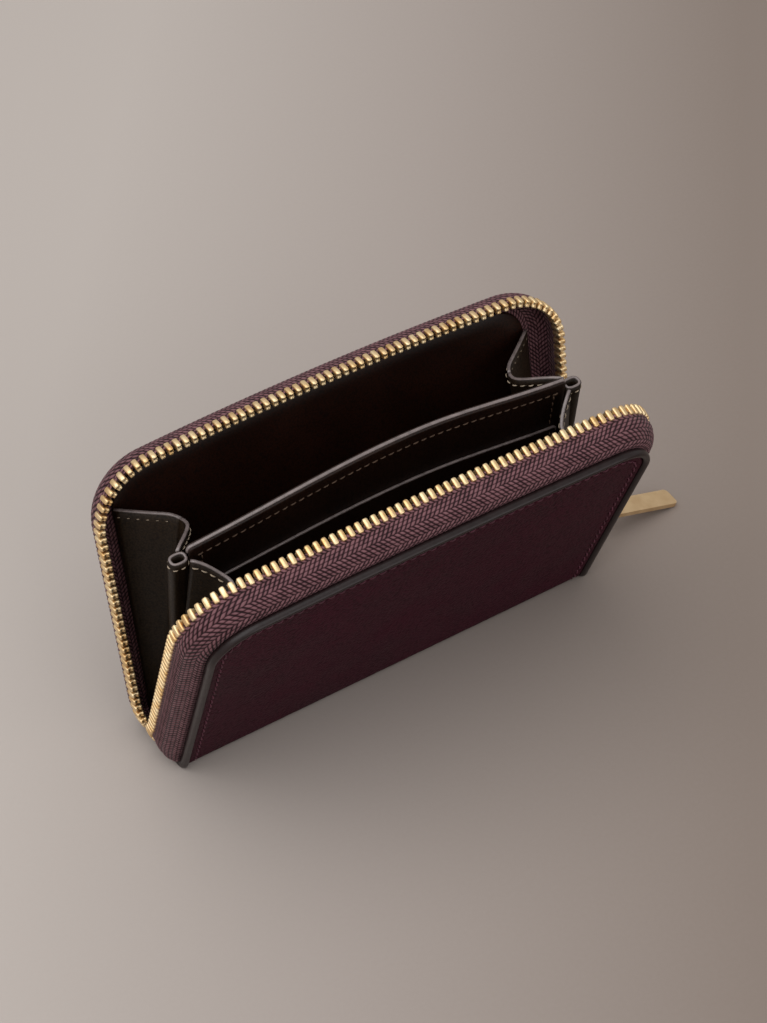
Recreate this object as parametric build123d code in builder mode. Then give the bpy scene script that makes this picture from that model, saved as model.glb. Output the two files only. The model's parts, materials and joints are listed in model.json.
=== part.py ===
"""Zip around wallet standing open on its spine.

X runs along the spine, the front cover is on the -Y side and +Z is up. The origin is the
centre of the spine's underside. Each cover hangs on a leather bend along the spine: its own
plane has its origin on that bend's axis, its local y up the cover and its local z out of the
wallet. Depths are measured from a cover's outer face into the wallet. Millimetres throughout.
"""

import os
from math import asin, atan2, cos, hypot, radians, sin, tan

from build123d import *

os.makedirs("parts", exist_ok=True)

# Leather covers
panel_width = 117.0
panel_height = 76.0  # closed, from the spine's underside to the shoulders of the top edge
crown_rise = 2.0  # arch of the top edge above its shoulders
corner_radius = 11.5
wallet_depth = 22.5  # closed, over the leather of both covers
leather_thickness = 1.4
leather_edge_bevel = 0.5
lining_thickness = 0.8
lining_margin = 2.0  # from the leather's edge to the lining's edge
bend_radius = 4.0  # outer radius of the leather between the spine and a cover
front_lean = 19.7  # degrees outwards when the gussets stop the cover
back_lean = 8.5
clearance = 0.3  # between pieces that move apart

# Zip tape, teeth and stops
tape_thickness = 0.8
tape_bend_flats = 2  # flat facets that make up the tape's quarter bend
tape_flange = 6.0  # sewn width under the leather's edge
rim_offset = 4.6  # how far the tape stands out past the leather's edge
rim_bend = 3.8  # outer radius of the tape's bend round the rim
tail_bend = 2.6  # the same where the joined tapes turn up to the slider
tooth_pitch = 2.1
tooth_length = 2.9
tooth_width = 2.2
tooth_thickness = 1.15
tooth_chamfer = 0.5
tooth_grip = 1.3  # depth of the tape's edge in a tooth
tooth_slot_play = 0.03  # lets the curved tape pass between the straight legs
row_clearance = 0.6  # from a closed row's tips to the wallet's mid plane
row_start = 4.2  # from the cover's foot to the first tooth
stop_length = 1.8
stop_width = 3.2  # of the one stop that joins both tapes
stop_head = 0.8  # of a stop, past the tape's edge

# Slider and puller
slider_length = 10.0
slider_mouth = 9.2
slider_tail = 6.6
slider_plate = 1.2
slider_flange = 0.75
slider_shoulder = 2.4  # from the mouth's edge down to its widest line
slider_neck = 3.2  # straight stretch at the tail
slider_corner = 1.0
slider_travel = 4.0
tooth_play = 0.3  # between the teeth and the slider's plates
tape_play = 0.25  # between the tape and the slider's flanges
post_width = 1.6
post_length = 4.6
bail_length = 7.0
bail_width = 1.8
bail_strip = 0.9
bail_opening = 2.0
bail_corner = 0.8
pull_length = 29.0  # from the hinge to the tip
pull_width = 5.8
pull_thickness = 1.2
pull_corner = 1.2
pull_bridge = 1.1  # bar across the puller's eye, held in the bail
pull_eye_width = 2.8
pull_eye_length = 7.0

# Inside
divider_side_gap = 3.4  # from the leather's edge in to the divider's wrap
divider_height = 69.0
divider_crown = 2.5
divider_corner = 1.0
divider_lean = 7.0  # degrees forwards at rest
divider_board_thickness = 0.5
pocket_leather = 0.7
pocket_count = 3
pocket_step = 12.0  # from one pocket's edge down to the next
pocket_drop = 15.0  # from the divider's top down to the first pocket's edge
pocket_side_margin = 1.5
wrap_length = 4.6
wrap_depth = 3.6
wrap_corner = 1.6
wrap_drop = 2.5  # from the divider's shoulders down to the wrap's top
anchor_width = 9.0
gusset_thickness = 0.9
gusset_height = 66.0  # top edge above the ground
gusset_foot_gap = 1.2  # from the spine's lining to the gusset's lower edge
gusset_apex_inset = 0.5  # from the leather's edge in to the point where seam and folds would meet
gusset_seam_inset = 2.0  # from the leather's edge in to the gusset's seam, at its top
gusset_tuck = 7.0  # from the divider's end in to the fold, at its top
gusset_end_overlap = 1.5  # how far the gusset reaches past the divider's end, at its top
gusset_fold_share = 0.45  # place of the fold between the divider and the cover

# Places that follow from the sizes
hinge_y = wallet_depth / 2 - bend_radius
core_depth = leather_thickness  # the boards and the tape's flange lie under the leather
lining_depth = core_depth + tape_thickness
inner_depth = lining_depth + lining_thickness
tip_depth = wallet_depth / 2 - row_clearance
tape_edge_depth = tip_depth - tooth_length + tooth_grip
wall_offset = rim_offset - tape_thickness / 2  # from the leather's edge to the middle of the tape
wall_x = panel_width / 2 + wall_offset
tail_half_width = wallet_depth / 2 - tape_edge_depth - clearance
tail_top = core_depth + tail_bend + tooth_grip
slider_foot = tail_top + stop_head + clearance
row_end = slider_foot + slider_length + slider_travel + clearance + tooth_thickness - bend_radius
plate_gap = tooth_width + 2 * tooth_play
bail_seat_x = wall_x + plate_gap / 2 + slider_plate
bail_foot = (slider_length - bail_length) / 2
pull_x = bail_seat_x + bail_opening / 2
pull_z = slider_foot + bail_foot + bail_strip + pull_bridge
pull_reach = hypot(pull_length, pull_thickness / 2)
pull_droop = asin(pull_z / pull_reach) - atan2(pull_thickness / 2, pull_length)  # tip on the ground
divider_width = panel_width - 2 * (divider_side_gap + wrap_length)
gusset_foot = inner_depth + gusset_foot_gap
gusset_apex_x = panel_width / 2 - gusset_apex_inset
gusset_seam_x = panel_width / 2 - gusset_seam_inset
gusset_fold_x = divider_width / 2 - gusset_tuck
gusset_end_x = divider_width / 2 + gusset_end_overlap
divider_half = divider_board_thickness / 2 + pocket_leather
pocket_stack = pocket_count * pocket_leather
anchor_top = inner_depth + pocket_leather
divider_foot = anchor_top + clearance + (divider_half + pocket_stack) * sin(radians(divider_lean))

covers = {"front": (-1, front_lean), "back": (1, back_lean)}
ends = {"left": -1, "right": 1}


def save(piece, name):
    """Label a finished piece and write its STEP file."""
    piece.part.label = name
    export_step(piece.part, f"parts/{name}.step")


def cover_plane(facing, lean):
    """Plane of a cover on its hinge axis. facing is -1 for the front cover and 1 for the back."""
    return Plane(
        origin=(0, facing * hinge_y, bend_radius),
        x_dir=(-facing, 0, 0),
        z_dir=(0, facing * cos(radians(lean)), -sin(radians(lean))),
    )


def at_depth(plane, depth):
    """The cover's plane moved to a depth below its outer face."""
    return plane.offset(bend_radius - depth)


def arched_sheet(plane, width, shoulder, crown, corner, foot=0.0):
    """Sketch of a sheet with a square foot, rounded shoulders and an arched top edge."""
    with BuildSketch(plane) as sheet:
        with BuildLine():
            Polyline((-width / 2, shoulder), (-width / 2, foot), (width / 2, foot), (width / 2, shoulder))
            ThreePointArc((-width / 2, shoulder), (0, shoulder + crown), (width / 2, shoulder))
        make_face()
        fillet(sheet.vertices().group_by(Axis.Y)[-1], corner)
    return sheet.sketch


def cover_sheet(plane, inset=0.0):
    """Sketch of a cover's outline, smaller by inset at its sides and top."""
    width = panel_width - 2 * inset
    shoulder = panel_height - bend_radius - inset
    return arched_sheet(plane, width, shoulder, crown_rise, corner_radius - inset, clearance)


def rim_line(plane, facing, outset=0.0):
    """Edge of a cover's leather, moved out by outset, from the stop's end over to the slider's."""
    half_width = facing * panel_width / 2
    shoulder = panel_height - bend_radius
    with BuildLine(plane) as rim:
        Line((half_width, clearance), (half_width, shoulder))
        ThreePointArc((half_width, shoulder), (0, shoulder + crown_rise), (-half_width, shoulder))
        Line((-half_width, shoulder), (-half_width, clearance))
        fillet(rim.vertices().group_by(Axis.Z)[-1], corner_radius)
    if outset:
        outer_side = Side.RIGHT if facing < 0 else Side.LEFT
        return rim.wire().offset_2d(outset, closed=False, side=outer_side)
    return rim.wire()


def rim_section(plane, facing, rim, distance, depth=bend_radius):
    """Plane across a rim line at a distance along it, x out of the wallet's edge, y out of the cover."""
    place = distance / rim.length
    along = rim % place
    return Plane(
        origin=rim @ place + (bend_radius - depth) * plane.z_dir,
        x_dir=facing * along.cross(plane.z_dir),
        z_dir=-facing * along,
    )


def quarter_bend(radius, axis_x, axis_y):
    """Corners of a bend in flats, from its top round to its side."""
    turns = [radians(90 * step / tape_bend_flats) for step in range(tape_bend_flats + 1)]
    return [(axis_x + radius * sin(turn), axis_y + radius * cos(turn)) for turn in turns]


def tape_section(plane, edge_depth, bend):
    """Sketch of the tape's section: a flange under the leather, a quarter bend and a wall."""
    top = bend_radius - core_depth
    edge = bend_radius - edge_depth
    outer_bend = quarter_bend(bend, rim_offset - bend, top - bend)
    inner_bend = quarter_bend(bend - tape_thickness, rim_offset - bend, top - bend)
    flange_end = [(-tape_flange, top - tape_thickness), (-tape_flange, top)]
    wall_end = [(rim_offset, edge), (rim_offset - tape_thickness, edge)]
    with BuildSketch(plane) as section:
        with BuildLine():
            Polyline(*outer_bend, *wall_end, *inner_bend[::-1], *flange_end, close=True)
        make_face()
    return section.sketch


def clamp_section(plane, head, chamfer):
    """Sketch of a tooth or stop: two legs astride the tape's edge and a chamfered head past it."""
    half = tooth_width / 2
    slot = tape_thickness / 2 + tooth_slot_play
    with BuildSketch(plane) as section:
        with BuildLine():
            Polyline(
                (slot, 0),
                (slot, tooth_grip),
                (half, tooth_grip),
                (half, chamfer - head),
                (half - chamfer, -head),
                (chamfer - half, -head),
                (-half, chamfer - head),
                (-half, tooth_grip),
                (-slot, tooth_grip),
                (-slot, 0),
                close=True,
            )
        make_face()
    return section.sketch


def divider_plane(offset=0.0):
    """Plane of the divider through its foot, y up the divider and z forwards."""
    lean = radians(divider_lean)
    middle = Plane(origin=(0, 0, divider_foot), x_dir=(1, 0, 0), z_dir=(0, -cos(lean), -sin(lean)))
    return middle.offset(offset)


def divider_sheet(offset, margin=0.0, drop=0.0):
    """Sketch of a sheet on the divider, narrower by a margin at each side and lower by a drop."""
    width = divider_width - 2 * margin
    return arched_sheet(divider_plane(offset), width, divider_height - drop, divider_crown, divider_corner)


def cover_y(facing, lean, depth, height):
    """Y of the place at a depth in a cover and at a height above the ground."""
    outwards = bend_radius - depth
    up = (height - bend_radius + outwards * sin(radians(lean))) / cos(radians(lean))
    return facing * (hinge_y + outwards * cos(radians(lean)) + up * sin(radians(lean)))


def gusset_edges(facing, lean, height):
    """Y of a gusset's seam on the cover and of its edge by the divider, at a height."""
    half_gusset = gusset_thickness / 2
    seam_y = cover_y(facing, lean, inner_depth + clearance + half_gusset, height)
    beside = max(wrap_depth / 2, divider_half + pocket_stack) if facing < 0 else wrap_depth / 2
    middle_y = -(height - divider_foot) * tan(radians(divider_lean))
    return seam_y, middle_y + facing * (beside + clearance + half_gusset)


def gusset_places(end, facing, lean, height):
    """Places of a gusset's seam, fold and divider's edge at a height. All three fan out from one apex."""
    seam_y, divider_y = gusset_edges(facing, lean, height)
    top_seam_y, top_divider_y = gusset_edges(facing, lean, gusset_height)
    spread = (seam_y - divider_y) / (top_seam_y - top_divider_y)
    fold_y = divider_y + gusset_fold_share * (seam_y - divider_y)
    return [
        Vector(end * (gusset_apex_x + spread * (top_x - gusset_apex_x)), y, height)
        for top_x, y in ((gusset_seam_x, seam_y), (gusset_fold_x, fold_y), (gusset_end_x, divider_y))
    ]


def flat_leaf(corners):
    """Sketch of a flat four-sided leaf through its corners."""
    first, second, _, last = corners
    plane = Plane(origin=first, x_dir=second - first, z_dir=(second - first).cross(last - first))
    with BuildSketch(plane) as leaf:
        with BuildLine():
            Polyline(*[plane.to_local_coords(corner) for corner in corners], close=True)
        make_face()
    return leaf.sketch


# Covers: leather, board, lining and half of the zip, alike on both sides but for their lean
for name, (facing, lean) in covers.items():
    plane = cover_plane(facing, lean)
    outwards = Axis(plane.origin, plane.z_dir)
    upwards = Axis(plane.origin, plane.y_dir)

    with BuildPart() as panel:
        extrude(cover_sheet(at_depth(plane, leather_thickness)), amount=leather_thickness)
        outer_edges = panel.faces().sort_by(outwards)[-1].edges().sort_by(upwards)
        chamfer(outer_edges[1:], leather_edge_bevel)
    save(panel, f"{name}_panel")

    with BuildPart() as board:
        extrude(cover_sheet(at_depth(plane, lining_depth), tape_flange + clearance), amount=tape_thickness)
    save(board, f"{name}_board")

    with BuildPart() as lining:
        extrude(cover_sheet(at_depth(plane, inner_depth), lining_margin), amount=lining_thickness)
    save(lining, f"{name}_lining")

    leather_edge = rim_line(plane, facing)
    with BuildPart() as tape:
        start = rim_section(plane, facing, leather_edge, 0)
        sweep(tape_section(start, tape_edge_depth, rim_bend), path=leather_edge)
    save(tape, f"{name}_zip_tape")

    row = rim_line(plane, facing, wall_offset)
    with BuildPart() as tooth:
        tooth_section = clamp_section(Plane.XY, tooth_length - tooth_grip, tooth_chamfer)
        extrude(tooth_section, amount=tooth_thickness / 2, both=True)
    tooth_count = int((row.length - row_start - row_end) / tooth_pitch) + 1
    with BuildPart() as teeth:
        places = [row_start + number * tooth_pitch for number in range(tooth_count)]
        with Locations(*[rim_section(plane, facing, row, place, tape_edge_depth) for place in places]):
            add(tooth.part)
    save(teeth, f"{name}_zip_teeth")

    with BuildPart() as stop:
        stop_place = row_start - tooth_thickness / 2 - clearance - stop_length / 2
        stop_plane = rim_section(plane, facing, row, stop_place, tape_edge_depth)
        extrude(clamp_section(stop_plane, stop_head, tooth_chamfer), amount=stop_length / 2, both=True)
    save(stop, f"{name}_zip_stop")

# Spine: its leather turns up into both bends as far as the covers' feet
with BuildPart() as spine_leather:
    with BuildSketch(Plane.YZ):
        with BuildLine():
            inner_radius = bend_radius - leather_thickness
            front_outer = CenterArc((-hinge_y, bend_radius), bend_radius, -90, front_lean - 90)
            back_outer = CenterArc((hinge_y, bend_radius), bend_radius, -90, 90 - back_lean)
            front_inner = CenterArc((-hinge_y, bend_radius), inner_radius, -90, front_lean - 90)
            back_inner = CenterArc((hinge_y, bend_radius), inner_radius, -90, 90 - back_lean)
            Line(front_outer @ 0, back_outer @ 0)
            Line(front_inner @ 0, back_inner @ 0)
            Line(front_outer @ 1, front_inner @ 1)
            Line(back_outer @ 1, back_inner @ 1)
        make_face()
    extrude(amount=panel_width / 2, both=True)
save(spine_leather, "spine_leather")

with BuildPart() as spine_board:
    with BuildSketch(Plane.XY.offset(core_depth)):
        Rectangle(panel_width - 2 * (tape_flange + clearance), 2 * (hinge_y - clearance))
    extrude(amount=tape_thickness)
save(spine_board, "spine_board")

with BuildPart() as spine_lining:
    with BuildSketch(Plane.XY.offset(lining_depth)):
        Rectangle(panel_width - 2 * lining_margin, 2 * (hinge_y - clearance))
    extrude(amount=lining_thickness)
save(spine_lining, "spine_lining")

with BuildPart() as divider_anchor:
    with BuildSketch(Plane.XY.offset(inner_depth)):
        Rectangle(divider_width, anchor_width)
    extrude(amount=pocket_leather)
save(divider_anchor, "divider_anchor")

# Both tapes run on as one tail that turns in under the spine's lining at each end
for end_name, end in ends.items():
    with BuildPart() as tail:
        tail_origin = (end * panel_width / 2, 0, bend_radius)
        tail_plane = Plane(origin=tail_origin, x_dir=(end, 0, 0), z_dir=(0, end, 0))
        extrude(tape_section(tail_plane, tail_top, tail_bend), amount=tail_half_width, both=True)
    save(tail, f"zip_tail_{end_name}")

with BuildPart() as closing_stop:
    tail_edge = Plane(origin=(wall_x, 0, tail_top), x_dir=(1, 0, 0), z_dir=(0, 1, 0))
    extrude(clamp_section(tail_edge, stop_head, tooth_chamfer), amount=stop_width / 2, both=True)
save(closing_stop, "zip_bottom_stop")

# Divider with stepped card pockets on its front and a rolled gusset wrap round each end
with BuildPart() as divider_board:
    extrude(divider_sheet(-divider_board_thickness / 2), amount=divider_board_thickness)
save(divider_board, "divider_board")

for name, offset in {"front": divider_board_thickness / 2, "back": -divider_half}.items():
    with BuildPart() as divider_skin:
        extrude(divider_sheet(offset), amount=pocket_leather)
    save(divider_skin, f"divider_{name}")

for number in range(pocket_count):
    with BuildPart() as pocket:
        edge_drop = pocket_drop + number * pocket_step
        pocket_sheet = divider_sheet(divider_half + number * pocket_leather, pocket_side_margin, edge_drop)
        extrude(pocket_sheet, amount=pocket_leather)
    save(pocket, f"card_pocket_{number + 1}")

for end_name, end in ends.items():
    with BuildPart() as wrap:
        wrap_x = end * (divider_width + wrap_length) / 2
        with BuildSketch(
            Plane(
                origin=(wrap_x, 0, divider_foot),
                x_dir=(1, 0, 0),
                z_dir=(0, -sin(radians(divider_lean)), cos(radians(divider_lean))),
            )
        ):
            RectangleRounded(wrap_length, wrap_depth, wrap_corner)
            RectangleRounded(
                wrap_length - 2 * gusset_thickness,
                wrap_depth - 2 * gusset_thickness,
                wrap_corner - gusset_thickness,
                mode=Mode.SUBTRACT,
            )
        extrude(amount=divider_height - wrap_drop)
    save(wrap, f"divider_wrap_{end_name}")

# Gussets: soft leather folded inwards between each cover and the divider's end
for end_name, end in ends.items():
    for name, (facing, lean) in covers.items():
        foot = gusset_places(end, facing, lean, gusset_foot)
        top = gusset_places(end, facing, lean, gusset_height)
        with BuildPart() as gusset:
            for side in range(len(foot) - 1):
                leaf = flat_leaf((foot[side], top[side], top[side + 1], foot[side + 1]))
                extrude(leaf, amount=gusset_thickness / 2, both=True)
            fold = top[1] - foot[1]
            with BuildSketch(Plane(origin=foot[1], z_dir=fold)):
                Circle(gusset_thickness / 2)
            extrude(amount=fold.length)
        save(gusset, f"gusset_{end_name}_{name}")

# Slider: two plates joined by the post at its mouth, with side flanges turned in to the tape
with BuildPart() as slider:
    slider_plane = Plane(origin=(wall_x, 0, slider_foot), x_dir=(0, 1, 0), z_dir=(1, 0, 0))
    widest = slider_length - slider_shoulder
    with BuildSketch(slider_plane) as slider_shape:
        with BuildLine():
            Polyline(
                (0, 0),
                (slider_tail / 2, 0),
                (slider_tail / 2, slider_neck),
                (slider_mouth / 2, widest),
                ((slider_mouth - slider_shoulder) / 2, slider_length),
                (0, slider_length),
            )
            mirror(about=Plane.YZ)
        make_face()
        fillet(slider_shape.vertices(), slider_corner)
    extrude(amount=plate_gap / 2 + slider_plate, both=True)
    with BuildSketch(slider_plane):
        with BuildLine():
            Polyline(
                (0, -slider_corner),
                (slider_tail / 2 - slider_flange, -slider_corner),
                (slider_tail / 2 - slider_flange, slider_neck),
                (slider_mouth / 2 - slider_flange, widest),
                (slider_mouth / 2 - slider_flange, slider_length + slider_corner),
                (0, slider_length + slider_corner),
            )
            mirror(about=Plane.YZ)
        make_face()
    extrude(amount=plate_gap / 2, both=True, mode=Mode.SUBTRACT)
    with BuildSketch(slider_plane):
        with Locations((0, slider_length / 2)):
            Rectangle(2 * slider_mouth, 2 * slider_length)
    extrude(amount=tape_thickness / 2 + tape_play, both=True, mode=Mode.SUBTRACT)
    with BuildSketch(slider_plane):
        with BuildLine():
            Polyline(
                (0, slider_length - post_length),
                (post_width / 2, slider_length - post_length / 2),
                (post_width / 2, slider_length),
                (-post_width / 2, slider_length),
                (-post_width / 2, slider_length - post_length / 2),
                close=True,
            )
        make_face()
    extrude(amount=plate_gap / 2, both=True)
save(slider, "slider_body")

with BuildPart() as bail:
    with BuildSketch(
        Plane(origin=(bail_seat_x, 0, slider_foot + bail_foot), x_dir=(1, 0, 0), z_dir=(0, -1, 0))
    ) as bail_shape:
        with BuildLine():
            crest = bail_opening + bail_strip
            Polyline(
                (0, 0),
                (crest, 0),
                (crest, bail_length),
                (0, bail_length),
                (0, bail_length - bail_strip),
                (bail_opening, bail_length - bail_strip),
                (bail_opening, bail_strip),
                (0, bail_strip),
                close=True,
            )
        make_face()
        fillet(bail_shape.vertices().group_by(Axis.X)[-1], bail_corner)
    extrude(amount=bail_width / 2, both=True)
save(bail, "slider_bail")

# Puller: a flat bar whose eye rides on the bail, its tip on the ground
with BuildPart() as puller:
    with BuildSketch(
        Plane(
            origin=(pull_x, 0, pull_z),
            x_dir=(cos(pull_droop), 0, -sin(pull_droop)),
            z_dir=(sin(pull_droop), 0, cos(pull_droop)),
        )
    ) as pull_shape:
        with Locations(((pull_length - pull_bridge / 2) / 2, 0)):
            Rectangle(pull_length + pull_bridge / 2, pull_width)
        fillet(pull_shape.vertices().group_by(Axis.X)[-1], pull_corner)
        with Locations(((pull_eye_length + pull_bridge / 2) / 2, 0)):
            Rectangle(pull_eye_length - pull_bridge / 2, pull_eye_width, mode=Mode.SUBTRACT)
    extrude(amount=pull_thickness / 2, both=True)
save(puller, "pull_bar")
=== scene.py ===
"""Looks of the zip around wallet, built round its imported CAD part. Metres throughout, Z up.

X runs along the spine and the front cover is on the -Y side. Each half of the wallet has its own
coordinates: x along the spine, s up the leather's outer face from the spine's middle line, and
depth from that face into the wallet. The divider has x, s up its middle plane from its foot, and
depth from that plane towards the front. Places on a rim are a length along the sheet's edge, from
its left foot over the top to its right foot, and an outset from that edge.
"""

import json
from math import atan2, cos, pi, radians, sin, sqrt, tan

import bmesh
import bpy
import numpy as np
from mathutils import Matrix, Vector


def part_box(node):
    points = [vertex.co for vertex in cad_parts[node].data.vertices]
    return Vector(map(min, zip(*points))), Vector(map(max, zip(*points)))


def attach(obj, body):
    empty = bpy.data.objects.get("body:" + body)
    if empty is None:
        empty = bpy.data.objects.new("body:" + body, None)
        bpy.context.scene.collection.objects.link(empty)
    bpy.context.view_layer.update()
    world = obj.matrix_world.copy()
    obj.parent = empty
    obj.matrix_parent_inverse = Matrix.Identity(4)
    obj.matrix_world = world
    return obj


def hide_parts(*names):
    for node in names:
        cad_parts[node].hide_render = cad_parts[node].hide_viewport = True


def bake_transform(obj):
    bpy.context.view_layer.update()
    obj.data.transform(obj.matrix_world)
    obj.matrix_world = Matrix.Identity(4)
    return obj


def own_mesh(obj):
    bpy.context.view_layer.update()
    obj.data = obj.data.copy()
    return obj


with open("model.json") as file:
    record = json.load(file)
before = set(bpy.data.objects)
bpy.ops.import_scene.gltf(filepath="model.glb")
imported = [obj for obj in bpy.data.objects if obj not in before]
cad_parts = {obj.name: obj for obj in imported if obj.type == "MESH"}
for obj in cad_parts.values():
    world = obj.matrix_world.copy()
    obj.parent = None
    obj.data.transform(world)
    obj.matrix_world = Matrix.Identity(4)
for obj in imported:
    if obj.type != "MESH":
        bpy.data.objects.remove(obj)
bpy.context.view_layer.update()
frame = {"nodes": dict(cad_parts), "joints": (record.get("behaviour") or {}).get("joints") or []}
nodes = frame["nodes"]
joints = {joint["name"]: joint for joint in frame["joints"]}

MM = 0.001
NUDGE = 0.1 * MM  # a small step that shows a direction

# Sizes of the covers and the spine
HINGE_Y = joints["back_cover_hinge"]["pos_m"][1]
BEND_RADIUS = joints["back_cover_hinge"]["pos_m"][2]
SPINE_LOW, SPINE_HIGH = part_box("spine_leather")
HALF_WIDTH = (SPINE_HIGH.x - SPINE_LOW.x) / 2
SHOULDER = 72.0 * MM  # of a cover, above its hinge
CROWN = 2.0 * MM
CORNER = 11.5 * MM
INNER_DEPTH = 3.0 * MM
STITCH_INSET = 3.4 * MM

# Sizes of the zip
TAPE = 0.7 * MM
TAPE_START_DEPTH = 1.5 * MM
TAPE_EDGE_DEPTH = 9.05 * MM
TAPE_FLANGE = 3.0 * MM
ROW_OUTSET = 4.2 * MM
EDGE_GAP = HINGE_Y + BEND_RADIUS - TAPE_EDGE_DEPTH  # from a closed tape's edge to the middle plane
TOOTH_PITCH = 2.1 * MM
TAIL_HALF = 1.95 * MM
TAIL_TOP = 5.3 * MM
SETTLED = 14.0 * MM  # above the bend, where the tape's edge is at its regular height
COLUMN = 2.8 * MM  # of the tape's herringbone
STRAND = 1.24 * MM
SLANT = 0.9
FLOATS = 3.0  # of a strand, in a column
WEAVE_RELIEF = 0.2 * MM
WEAVE_STEP = STRAND / 5  # along the tape; a step across it shifts the strands by one step along
WEAVE_STEP_ACROSS = WEAVE_STEP / SLANT
LEFT_TAPER = 0.52  # of the outset, at the left foot
LEFT_TAPER_REACH = 8.0 * MM  # above the bend

# Heights between which the tape's edge turns from the spine's way to the cover's
LEFT_TURN = (TAIL_TOP, 14.0 * MM)
RIGHT_TURN = (17.0 * MM, 40.0 * MM)

# Sizes of the inside
DIVIDER_FOOT = joints["divider_swing"]["pos_m"][2]
DIVIDER_LEAN = radians(joints["divider_swing"]["range_deg"][1])
DIVIDER_HALF_WIDTH = 50.5 * MM
DIVIDER_HEIGHT = 69.0 * MM
DIVIDER_CROWN = 2.5 * MM
DIVIDER_CORNER = 1.0 * MM
DIVIDER_BOW = 2.2 * MM  # backwards, at its top
DIVIDER_BOW_X = 10.0 * MM
BOARD = 0.5 * MM
SKIN = 0.7 * MM
DIVIDER_HALF = BOARD / 2 + SKIN
POCKETS = 3
POCKET_DROP = 15.0 * MM
POCKET_STEP = 12.0 * MM
POCKET_MARGIN = 1.5 * MM
WRAP_LENGTH = 4.6 * MM
WRAP_DEPTH = 3.6 * MM
WRAP_TOP = 66.5 * MM
GUSSET = 0.9 * MM
GUSSET_FOOT = 4.2 * MM
GUSSET_TOP = 66.0 * MM
GUSSET_APEX_X = 58.0 * MM
GUSSET_SEAM_X = 56.5 * MM
GUSSET_FOLD_X = 43.5 * MM
GUSSET_END_X = {"front": 50.8 * MM, "back": 52.0 * MM}
GUSSET_RISE = 4.5 * MM  # of its top towards the divider
GUSSET_BELLY = 1.4 * MM  # of the leg by the divider, inwards
GUSSET_PRESS = 0.2 * MM  # into the wrap
CLEARANCE = 0.3 * MM


def smooth(share):
    """Smooth step from 0 to 1."""
    share = np.clip(share, 0, 1)
    return share * share * (3 - 2 * share)


def between(value, low, high):
    """Share of the way from low to high, from 0 to 1."""
    return np.clip((value - low) / (high - low), 0, 1)


def unit(vectors):
    """Vectors made 1 long, in the last axis."""
    return vectors / np.linalg.norm(vectors, axis=-1, keepdims=True)


def run_along(line):
    """Lengths along a line of places, from its start."""
    return np.concatenate([[0], np.cumsum(np.linalg.norm(np.diff(line, axis=0), axis=1))])


def line_at(line, run, places):
    """Points of a line, whose own points have the lengths run, at other lengths along it."""
    return np.stack([np.interp(places, run, axis) for axis in line.T], -1)


class Sheet:
    """An arched sheet: straight sides above a foot line, corner arcs and a slightly arched top."""

    def __init__(self, half, shoulder, crown, corner, foot=0.0):
        self.half, self.arc, self.foot = half, corner, foot
        self.top_radius = (half**2 + crown**2) / (2 * crown)
        self.top_centre = shoulder + crown - self.top_radius
        self.corner_x = half - corner
        rise = sqrt((self.top_radius - corner) ** 2 - self.corner_x**2)
        self.corner = foot + self.top_centre + rise
        self.turn = atan2(rise, self.corner_x)
        self.rim_length = 2 * (self.corner + self.arc * self.turn) + self.top_radius * (pi - 2 * self.turn)

    def rim(self, length, outset):
        """x and s at lengths along the edge, moved out to an outset."""
        length, outset = np.broadcast_arrays(length, outset)
        side = np.where(length < self.rim_length / 2, -1.0, 1.0)
        run = np.minimum(length, self.rim_length - length)
        corner_end = self.corner + self.arc * self.turn
        corner_turn = np.clip((run - self.corner) / self.arc, 0, self.turn)
        top_turn = self.turn + (run - corner_end) / self.top_radius
        on_top = run > corner_end
        x = np.where(
            on_top,
            (self.top_radius + outset) * np.cos(top_turn),
            self.corner_x + (self.arc + outset) * np.cos(corner_turn),
        )
        s = np.where(
            on_top,
            self.foot + self.top_centre + (self.top_radius + outset) * np.sin(top_turn),
            np.minimum(run, self.corner) + (self.arc + outset) * np.sin(corner_turn),
        )
        return side * x, s

    def surface(self, x, s, depth):
        """Places and the unit directions of falling depth there, one row each."""
        places = self.at(x, s, depth)
        return places, unit(self.at(x, s, np.asarray(depth) - NUDGE) - places)


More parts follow.
